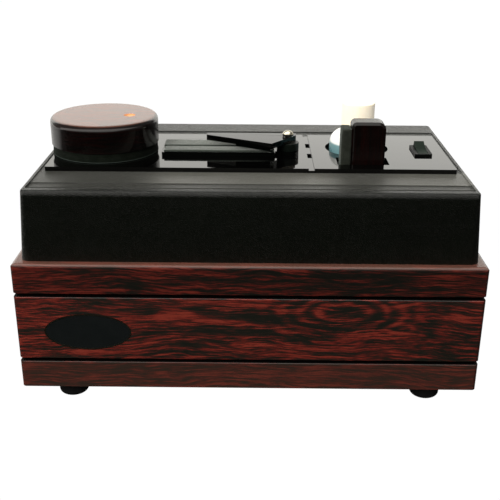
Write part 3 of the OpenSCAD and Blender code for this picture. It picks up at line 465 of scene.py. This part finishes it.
def bare_cup(name, centre):
    """The bare wood of the fingertip cup: pale at its rim, orange at the bottom where fingers have oiled it."""
    T = Tree(name, ior=1.45, specular=0.35)
    x, y, z = T.xyz()
    dx = T.mul(T.math("SUBTRACT", x, centre[0]), 1000.0)
    dy = T.mul(T.math("SUBTRACT", y, centre[1]), 1000.0)
    r = T.math("SQRT", T.add(T.mul(dx, dx), T.mul(dy, dy)))
    grain = T.noise(T.vec(T.mul(x, 60.0), T.mul(y, 1400.0), T.mul(z, 600.0)), 1.0, 3.0, 0.6)
    c = T.ramp(T.mul(T.add(r, T.mul(grain, 1.4)), 1.0 / 6.6), [
        (0.0, (0.72, 0.36, 0.16)), (0.45, (0.90, 0.55, 0.28)), (0.72, (0.80, 0.33, 0.13)), (1.0, (0.50, 0.17, 0.07))])
    T.set("base_color", c)
    T.set("roughness", T.range(grain, 0.3, 0.7, 0.42, 0.58))
    T.set("normal", T.bump(grain, 0.00005))
    return T.mat


def badge_face(name):
    """Gloss black enamel with the least orange peel."""
    T = Tree(name, ior=1.5)
    peel = T.noise(T.coord, 420.0, 2.0, 0.5)
    T.set("base_color", T.mix(T.noise(T.coord, 80.0, 3.0, 0.6), (0.0040, 0.0052, 0.0052), (0.0085, 0.0100, 0.0100)))
    T.set("roughness", T.range(T.noise(T.coord, 140.0, 3.0, 0.6), 0.3, 0.7, 0.16, 0.24))
    T.set("normal", T.bump(peel, 0.00003))
    return T.mat


def windings(name):
    """Laminated iron with copper in its slots, seen end on round the motor's axis."""
    T = Tree(name, metallic=0.85)
    x, y, z = T.xyz()
    leaf = T.noise(T.vec(T.mul(x, 2600.0), 0.0, 0.0), 1.0, 1.0, 0.5)
    turn = T.noise(T.vec(T.mul(x, 50.0), T.mul(y, 900.0), T.mul(z, 900.0)), 1.0, 3.0, 0.7)
    c = T.mix(T.range(turn, 0.5, 0.62), (0.20, 0.20, 0.21), (0.55, 0.20, 0.08))
    T.set("base_color", c)
    T.set("roughness", T.range(leaf, 0.3, 0.7, 0.34, 0.5))
    T.set("normal", T.bump(leaf, 0.0001))
    return T.mat


M = {
    "raw": raw_timber("sawn_pine", (0.52, 0.33, 0.17), (0.33, 0.17, 0.075)),
    "raw_y": raw_timber("sawn_pine_y", (0.52, 0.33, 0.17), (0.33, 0.17, 0.075), along=1),
    "board": hardboard("hardboard"),
    "cup": bare_cup("bare_cup", (-111.4 * MM, -3.2 * MM)),
    "rubber": rubber("rubber"),
    "foot": rubber("foot_rubber", (0.008, 0.008, 0.008), (0.42, 0.55)),
    "steel": metal("plated_steel", (0.58, 0.57, 0.55)),
    "black_screw": metal("blacked_steel", (0.050, 0.049, 0.047), (0.3, 0.42)),
    "badge": badge_face("badge_enamel"),
    "rim": metal("badge_rim", (0.30, 0.27, 0.19), (0.30, 0.42)),
    "abs": leather_abs("leather_grain"),
    "acrylic": acrylic("black_acrylic"),
    "arm": acrylic("arm_acrylic", 0.0008, specular=0.2),
    "black": plastic("black_plastic", (0.0085, 0.0090, 0.0085)),
    "slot": plastic("slot_plastic", (0.0008, 0.0011, 0.0008), rough=(0.18, 0.26)),
    "platter": felt("platter_cloth", (0.0026, 0.0038, 0.0026), (0.0085, 0.0110, 0.0078), 0.05, (0.6, 0.7, 0.6), rim_highlight_below=0.1989),
    "mat": felt("mat_felt", (0.0030, 0.0042, 0.0028), (0.0100, 0.0125, 0.0090), 0.06, (0.6, 0.7, 0.6)),
    "felt": felt("lip_felt", (0.026, 0.032, 0.026), (0.060, 0.070, 0.060), 1.0, (0.95, 0.97, 0.92)),
    "pad": felt("pad_velvet", (0.0135, 0.0150, 0.0115), (0.029, 0.032, 0.0255), 0.18, (0.8, 0.9, 0.85)),
    "arm_pad": felt("arm_pad_felt", (0.0020, 0.0026, 0.0020), (0.0060, 0.0075, 0.0060), 0.05, (0.6, 0.7, 0.6)),
    "bronze": metal("bronze", (0.45, 0.27, 0.12)),
    "brass": brass_knob("brass", 216.1 * MM),
    "block": plastic("block_plastic", (0.0020, 0.0036, 0.0024), rough=(0.42, 0.52)),
    "bottle": bottle_skin("bottle_wall", 0.205),
    "fluid": plastic("fluid", (0.10, 0.30, 0.33), 1.3, (0.05, 0.1)),
    "cream": cream_plastic("cream_plastic"),
    "rocker": plastic("rocker_plastic", (0.0100, 0.0165, 0.0118), rough=(0.50, 0.60), specular=0.12),
    "bezel": plastic("bezel_plastic", (0.0012, 0.0016, 0.0012), rough=(0.46, 0.58), depth=0.00001, specular=0.3),
    "tank": plastic("tank_plastic", (0.62, 0.63, 0.60), 1.1, (0.36, 0.48)),
    "fan": metal("cast_alloy", (0.52, 0.52, 0.52), (0.4, 0.55), depth=0.00008),
    "motor": metal("motor_steel", (0.44, 0.44, 0.45), (0.3, 0.42)),
    "stator": windings("stator_windings"),
    "panel": plastic("panel_paint", (0.010, 0.010, 0.010), rough=(0.42, 0.55), grain=900.0, depth=0.00008),
}

FINISH = {
    "cabinet_front": wood_front, "cabinet_back": wood_back, "cabinet_left": wood_left, "cabinet_right": wood_right,
    "base_panel": M["board"], "base_cleats": M["raw"], "cover_cleats": M["raw_y"], "base_screws": M["steel"],
    "feet": M["foot"], "badge_plate": M["badge"], "badge_rim": M["rim"],
    "top_cover": M["abs"], "cover_screws": M["black_screw"], "deck_plate": M["acrylic"], "small_screws": M["black_screw"],
    "platter": M["platter"], "platter_mat": M["mat"], "spindle": M["steel"], "spindle_bush": M["bronze"],
    "spindle_clip": M["steel"], "label_cap": wood_cap, "cap_pad": M["rubber"], "finger_insert": M["cup"],
    "slot_body": M["slot"], "lip_rear": M["felt"], "lip_front": M["felt"], "suction_funnel": M["black"],
    "pivot_post": M["block"], "slot_arm": M["arm"], "arm_pad": M["arm_pad"], "pivot_stud": M["steel"],
    "pivot_washer": M["steel"], "arm_knob": M["brass"], "bottle_body": M["bottle"], "bottle_fluid": M["fluid"],
    "bottle_cap": M["cream"], "bottle_well": M["black"], "brush_well": M["black"], "brush_handle": wood_handle, "brush_pad": M["pad"],
    "switch_frame": M["bezel"], "switch_rocker": M["rocker"], "waste_tank": M["tank"], "tank_lid": M["tank"],
    "fan_housing": M["fan"], "fan_horn": M["fan"], "impeller": M["fan"], "motor_shaft": M["steel"], "motor_can": M["motor"],
    "motor_stator": M["stator"], "motor_bearings": M["steel"], "motor_bracket": M["fan"], "intake_cuff": M["rubber"],
    "drain_trough": M["black"], "rear_panel": M["panel"], "mains_inlet": M["black"],
    "fuse_holder": M["bezel"], "drain_spout": M["black"], "drain_cap": M["rubber"], "wiring": M["rubber"],
}


def wear(obj, material):
    obj.data.materials.clear()
    obj.data.materials.append(material)


for name, obj in NODES.items():
    wear(obj, FINISH[name])


# ------------------------------------------------------------------ edges of the hard pieces
def shade_group():
    """Drops the imported normals and shades smooth across edges flatter than 32 degrees."""
    g = bpy.data.node_groups.new("shade_by_angle", "GeometryNodeTree")
    g.interface.new_socket("Geometry", in_out="INPUT", socket_type="NodeSocketGeometry")
    g.interface.new_socket("Geometry", in_out="OUTPUT", socket_type="NodeSocketGeometry")
    gi, go = g.nodes.new("NodeGroupInput"), g.nodes.new("NodeGroupOutput")
    drop = g.nodes.new("GeometryNodeRemoveAttribute")
    drop.inputs["Name"].default_value = "custom_normal"
    face = g.nodes.new("GeometryNodeSetShadeSmooth")
    edge = g.nodes.new("GeometryNodeSetShadeSmooth")
    edge.domain = "EDGE"
    angle = g.nodes.new("GeometryNodeInputMeshEdgeAngle")
    more = g.nodes.new("FunctionNodeCompare")
    more.operation = "LESS_EQUAL"
    more.inputs[1].default_value = math.radians(32)
    g.links.new(gi.outputs[0], drop.inputs[0])
    g.links.new(drop.outputs[0], face.inputs[0])
    g.links.new(face.outputs[0], edge.inputs[0])
    g.links.new(angle.outputs[0], more.inputs[0])
    g.links.new(more.outputs[0], edge.inputs["Shade Smooth"])
    g.links.new(edge.outputs[0], go.inputs[0])
    return g


SHADE = shade_group()


def soften(node, width_mm, segments=2, angle=34, flatten=False):
    """Breaks a hard piece's sharp edges with a small real round."""
    o = NODES[node]
    w = o.modifiers.new("weld", "WELD")
    w.merge_threshold = 2e-6
    if flatten:
        d = o.modifiers.new("flat", "DECIMATE")
        d.decimate_type = "DISSOLVE"
        d.angle_limit = math.radians(0.6)
    s = o.modifiers.new("shade", "NODES")
    s.node_group = SHADE
    b = o.modifiers.new("edges", "BEVEL")
    b.width = width_mm * MM
    b.segments = segments
    b.limit_method = "ANGLE"
    b.angle_limit = math.radians(angle)
    b.use_clamp_overlap = True
    b.miter_outer = "MITER_ARC"
    s2 = o.modifiers.new("shade_after", "NODES")
    s2.node_group = SHADE
    n = o.modifiers.new("flats", "WEIGHTED_NORMAL")
    n.mode = "FACE_AREA"
    n.keep_sharp = True


for node, width in {
    "cabinet_front": 0.5, "cabinet_back": 0.5, "cabinet_left": 0.5, "cabinet_right": 0.5,
    "deck_plate": 0.25, "slot_body": 0.3, "slot_arm": 0.35, "switch_frame": 0.3, "switch_rocker": 0.35,
    "platter": 0.2, "pivot_post": 0.4, "bottle_cap": 0.5, "mains_inlet": 0.3, "fuse_holder": 0.4, "drain_cap": 0.4,
    "rear_panel": 0.25,
}.items():
    soften(node, width)
soften("brush_handle", 2.3, 1, flatten=True)
h = NODES["brush_handle"]
r = h.modifiers.new("arris", "BEVEL")
r.width = 0.35 * MM
r.segments = 3
r.limit_method = "ANGLE"
r.angle_limit = math.radians(26)
r.miter_outer = "MITER_ARC"
h.modifiers.move(len(h.modifiers) - 1, [m.name for m in h.modifiers].index("shade_after"))


# ------------------------------------------------------------------ felt and foam pieces
def made(name, bm):
    me = bpy.data.meshes.new(name)
    bm.to_mesh(me)
    bm.free()
    o = bpy.data.objects.new(name, me)
    scene.collection.objects.link(o)
    return o


def baked(o):
    """The object's mesh with its modifiers applied."""
    graph = bpy.context.evaluated_depsgraph_get()
    new = bpy.data.meshes.new_from_object(o.evaluated_get(graph))
    o.modifiers.clear()
    o.data = new
    return o


def worn(o, amount, scale, seed, limits=None):
    """Moves each point a little along its normal, and keeps it within limits, a box in millimetres."""
    me = o.data
    normals = [v.normal.copy() for v in me.vertices]
    for v, n in zip(me.vertices, normals):
        p = Vector(v.co) * 1000.0
        h = noise.noise(p / scale + Vector((seed, 0, 0))) + 0.5 * noise.noise(p / (scale * 0.35) + Vector((0, seed, 0)))
        q = v.co + n * (h * amount * MM)
        if limits:
            lo, hi = limits
            q = Vector([min(max(q[i], lo[i] * MM), hi[i] * MM) for i in range(3)])
        v.co = q
    me.polygons.foreach_set("use_smooth", [True] * len(me.polygons))
    me.update()


def own(o, node, body, material):
    o.data.materials.clear()
    o.data.materials.append(material)
    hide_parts(node)
    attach(o, body)


def cut_pad(name, node, body, material, outline, lo, hi, voxel=0.5, edge=0.6, crown=0.0, wave=0.10, seed=1.0,
            upright=False):
    """A pad cut from thick felt: outline in millimetres, lo and hi its two faces. The cut edges are soft and the face
    is crowned, so the pad pulls in towards its rim."""
    bm = bmesh.new()
    place = (lambda a, b, c: (c, a, b)) if upright else (lambda a, b, c: (a, b, c))
    ring = [bm.verts.new([q * MM for q in place(x, y, lo)]) for x, y in outline]
    face = bm.faces.new(ring)
    up = bmesh.ops.extrude_face_region(bm, geom=[face])
    top = [e for e in up["geom"] if isinstance(e, bmesh.types.BMVert)]
    bmesh.ops.translate(bm, verts=top, vec=[q * MM for q in place(0, 0, hi - lo)])
    bmesh.ops.recalc_face_normals(bm, faces=bm.faces[:])
    bmesh.ops.bevel(bm, geom=bm.edges[:] + bm.verts[:], offset=edge * MM, segments=3, profile=0.5, affect="EDGES",
                    clamp_overlap=True)
    o = made(name, bm)
    r = o.modifiers.new("even", "REMESH")
    r.mode = "VOXEL"
    r.voxel_size = voxel * MM
    baked(o)
    box_lo = [min(v.co[i] for v in o.data.vertices) * 1000 for i in range(3)]
    box_hi = [max(v.co[i] for v in o.data.vertices) * 1000 for i in range(3)]
    axis = 0 if upright else 2
    others = [i for i in range(3) if i != axis]
    mid = [(a + b) / 2 for a, b in zip(box_lo, box_hi)]
    half = [max((b - a) / 2, 1e-6) for a, b in zip(box_lo, box_hi)]
    if crown:
        for v in o.data.vertices:
            e = [abs(v.co[i] * 1000 - mid[i]) / half[i] for i in others]
            rim = max(e) ** 6
            outer = (v.co[axis] * 1000 - box_lo[axis]) / (box_hi[axis] - box_lo[axis])
            if upright:
                outer = 1 - outer
            v.co[axis] += (1 if upright else -1) * crown * rim * outer * MM
    worn(o, wave, 5.0, seed, (box_lo, box_hi))
    own(o, node, body, material)
    return o


def round_pad(name, node, body, material, centre, inner, outer, lo, hi, edge, wave, seed, around=288):
    """A ring of felt or foam turned about a vertical axis, with a soft uneven edge."""
    steps = 5
    prof = []
    for i in range(9):
        prof.append((inner + (outer - edge - inner) * i / 8, lo))
    for i in range(1, steps + 1):
        a = math.pi / 2 * i / steps
        prof.append((outer - edge + edge * math.sin(a), lo + edge * 0.5 * (1 - math.cos(a))))
    n = 4
    for i in range(1, n):
        prof.append((outer, lo + edge * 0.5 + (hi - lo - edge) * i / n))
    for i in range(steps + 1):
        a = math.pi / 2 * i / steps
        prof.append((outer - edge + edge * math.cos(a), hi - edge * 0.5 * (1 - math.sin(a))))
    for i in range(1, 9):
        prof.append((outer - edge + (inner - outer + edge) * i / 8, hi))
    bm = bmesh.new()
    rings = []
    for j in range(around):
        t = 2 * math.pi * j / around
        ring = []
        for x, z in prof:
            g = noise.noise(Vector((math.cos(t) * outer / 3.5, math.sin(t) * outer / 3.5, z * 1.1 + seed)))
            g += 0.6 * noise.noise(Vector((math.cos(t) * outer / 1.2, math.sin(t) * outer / 1.2, z * 2.5 + seed)))
            near = max(0.0, (x - outer + 4 * edge) / (4 * edge))
            x2 = x - wave * near * (0.5 + 0.5 * g)
            ring.append(bm.verts.new(((centre[0] + x2 * math.cos(t)) * MM, (centre[1] + x2 * math.sin(t)) * MM, z * MM)))
        rings.append(ring)
    m2 = len(prof)
    for j in range(around):
        p, q = rings[j], rings[(j + 1) % around]
        for i in range(m2):
            k2 = (i + 1) % m2
            bm.faces.new((p[i], q[i], q[k2], p[k2]))
    bmesh.ops.recalc_face_normals(bm, faces=bm.faces[:])
    for f in bm.faces:
        f.smooth = True
    o = made(name, bm)
    own(o, node, body, material)
    return o


def box_outline(x0, y0, x1, y1):
    return [(x0, y0), (x1, y0), (x1, y1), (x0, y1)]


cut_pad("felt_lip_rear", "lip_rear", "machine", M["felt"], box_outline(-80.7, -2.3, 21.3, 17.7), 201.42, 203.35,
        0.5, 0.7, 0.15, 0.10, 3.0)
cut_pad("felt_lip_front", "lip_front", "machine", M["felt"], box_outline(-79.3, -20.1, 21.3, -5.7), 201.42, 203.35,
        0.5, 0.7, 0.15, 0.10, 8.0)
cut_pad("felt_arm_pad", "arm_pad", "arm", M["arm_pad"],
        [(-13.9, 0.5), (-13.9, -6.9), (17.5, -24.8), (17.5, 0.5)], 203.7, 208.5, 0.55, 0.6, 0.0, 0.10, 5.0)
cut_pad("velvet_brush_pad", "brush_pad", "brush", M["pad"], box_outline(-43.2, 142.1, -24.0, 229.1), 79.3, 88.2,
        0.8, 1.1, 0.5, 0.14, 12.0, upright=True)
round_pad("felt_platter_mat", "platter_mat", "turntable", M["mat"], (-135.0, 0.0), 9.05, 47.98, 201.8, 203.0,
          0.35, 0.14, 4.0)
round_pad("foam_cap_pad", "cap_pad", "cap", M["mat"], (-135.0, 0.0), 6.05, 47.98, 203.12, 206.2, 0.55, 0.16, 9.0)


# ------------------------------------------------------------------ light, floor
def area(name, at, target, size, power, colour=(1, 1, 1)):
    d = bpy.data.lights.new(name, "AREA")
    d.shape = "RECTANGLE"
    d.size, d.size_y = size
    d.energy = power
    d.color = colour
    o = bpy.data.objects.new(name, d)
    scene.collection.objects.link(o)
    o.location = at
    o.rotation_mode = "QUATERNION"
    o.rotation_quaternion = (Vector(target) - Vector(at)).to_track_quat("-Z", "Y")
    return o


key = area("key", (-0.8, -1.6, 1.2), (0, 0, 0.12), (1.0, 0.8), 38.0, (1.0, 0.985, 0.96))
key.visible_glossy = False

world = bpy.data.worlds.new("studio")
scene.world = world
world.use_nodes = True
wt = world.node_tree
wt.nodes.clear()


def wn(kind, ins=(), out=0, **props):
    nd = wt.nodes.new("ShaderNode" + kind)
    for k, v in props.items():
        setattr(nd, k, v)
    for k, v in dict(ins).items():
        if isinstance(v, bpy.types.NodeSocket):
            wt.links.new(v, nd.inputs[k])
        else:
            nd.inputs[k].default_value = v
    return nd.outputs[out]


way = wt.nodes.new("ShaderNodeTexCoord").outputs["Generated"]
sep = wt.nodes.new("ShaderNodeSeparateXYZ")
wt.links.new(way, sep.inputs[0])
rise = wn("Math", {0: sep.outputs[2], 1: 0.0}, operation="ABSOLUTE")
turn = wn("Math", {0: rise, 1: sep.outputs[1]}, operation="ARCTAN2")  # 0 behind, a half turn in front
low_back = wn("MapRange", {0: turn, 1: math.radians(21.5), 2: math.radians(27), 3: 1.65, 4: 0.10}, interpolation_type="SMOOTHSTEP")
over = wn("MapRange", {0: turn, 1: math.radians(54), 2: math.radians(66), 3: 0.0, 4: 1.9}, interpolation_type="SMOOTHSTEP")
far_front = wn("MapRange", {0: turn, 1: math.radians(104), 2: math.radians(152), 3: 1.0, 4: 0.0}, interpolation_type="SMOOTHSTEP")
side = wn("Math", {0: sep.outputs[0], 1: sep.outputs[1]}, operation="ARCTAN2")  # 0 behind, plus to the right
right = wn("MapRange", {0: side, 1: math.radians(26), 2: math.radians(42), 3: 1.0, 4: 0.06}, interpolation_type="SMOOTHSTEP")
flank = wn("MapRange", {0: side, 1: math.radians(-98), 2: math.radians(-62), 3: 1.5, 4: 1.0}, interpolation_type="SMOOTHSTEP")
ahead = wn("MapRange", {0: turn, 1: math.radians(106), 2: math.radians(120), 3: 1.0, 4: 0.0}, interpolation_type="SMOOTHSTEP")
left = wn("MapRange", {0: sep.outputs[0], 1: 0.25, 2: 0.60, 3: 1.0, 4: 0.10}, interpolation_type="SMOOTHSTEP")
front = wn("MapRange", {0: turn, 1: math.radians(112), 2: math.radians(125), 3: 0.0, 4: 0.05}, interpolation_type="SMOOTHSTEP")
roof = wn("Math", {0: wn("Math", {0: over, 1: far_front}, operation="MULTIPLY"), 1: left}, operation="MULTIPLY")
sides = wn("Math", {0: right, 1: flank}, operation="MULTIPLY")
base = wn("Math", {0: wn("Math", {0: low_back, 1: ahead}, operation="MULTIPLY"), 1: sides}, operation="MULTIPLY")
glow = wn("Math", {0: wn("Math", {0: roof, 1: base}, operation="ADD"), 1: front}, operation="ADD")
soft = wn("Background", {"Color": (1.0, 0.983, 0.925, 1.0), "Strength": glow})
plain = wn("Background", {"Color": (1, 1, 1, 1), "Strength": 1.05})
seen = wt.nodes.new("ShaderNodeLightPath").outputs["Is Camera Ray"]
both = wn("MixShader", {0: seen, 1: soft, 2: plain})
wo = wt.nodes.new("ShaderNodeOutputWorld")
wt.links.new(both, wo.inputs[0])

bm = bmesh.new()
bmesh.ops.create_circle(bm, cap_ends=True, segments=96, radius=9.0)
me = bpy.data.meshes.new("floor")
bm.to_mesh(me)
bm.free()
floor = bpy.data.objects.new("floor", me)
scene.collection.objects.link(floor)
floor.location = (0, 0, -0.00002)
fm = bpy.data.materials.new("pale_floor")
fm.use_nodes = True
ft = fm.node_tree
ft.nodes.clear()
fo = ft.nodes.new("ShaderNodeOutputMaterial")
fl = Tree.__new__(Tree)  # the same short hand for the floor's tree
fl.t = ft
fl.coord = ft.nodes.new("ShaderNodeTexCoord").outputs["Object"]
fx, fy, fz = fl.xyz()
lit = fl.math("MAXIMUM", fl.range(fx, -0.45, -0.24, 1.0, 0.0), fl.range(fy, 0.35, 0.8, 0.0, 1.0))
lit = fl.mul(fl.mul(lit, fl.range(fy, 0.0, 0.26, 0.0, 1.0)), fl.range(fl.math("SUBTRACT", fx, fl.mul(fy, 0.3)), -0.10, 0.12, 1.0, 0.0))
dim = ft.nodes.new("ShaderNodeEmission")
dim.inputs[0].default_value = (1.0, 0.985, 0.95, 1)
ft.links.new(fl.add(fl.mul(lit, 0.85), 0.015), dim.inputs[1])
emi = ft.nodes.new("ShaderNodeEmission")
emi.inputs[1].default_value = 1.02
lp = ft.nodes.new("ShaderNodeLightPath")
mx = ft.nodes.new("ShaderNodeMixShader")
ft.links.new(lp.outputs["Is Camera Ray"], mx.inputs[0])
ft.links.new(dim.outputs[0], mx.inputs[1])
ft.links.new(emi.outputs[0], mx.inputs[2])
ft.links.new(mx.outputs[0], fo.inputs[0])
me.materials.append(fm)
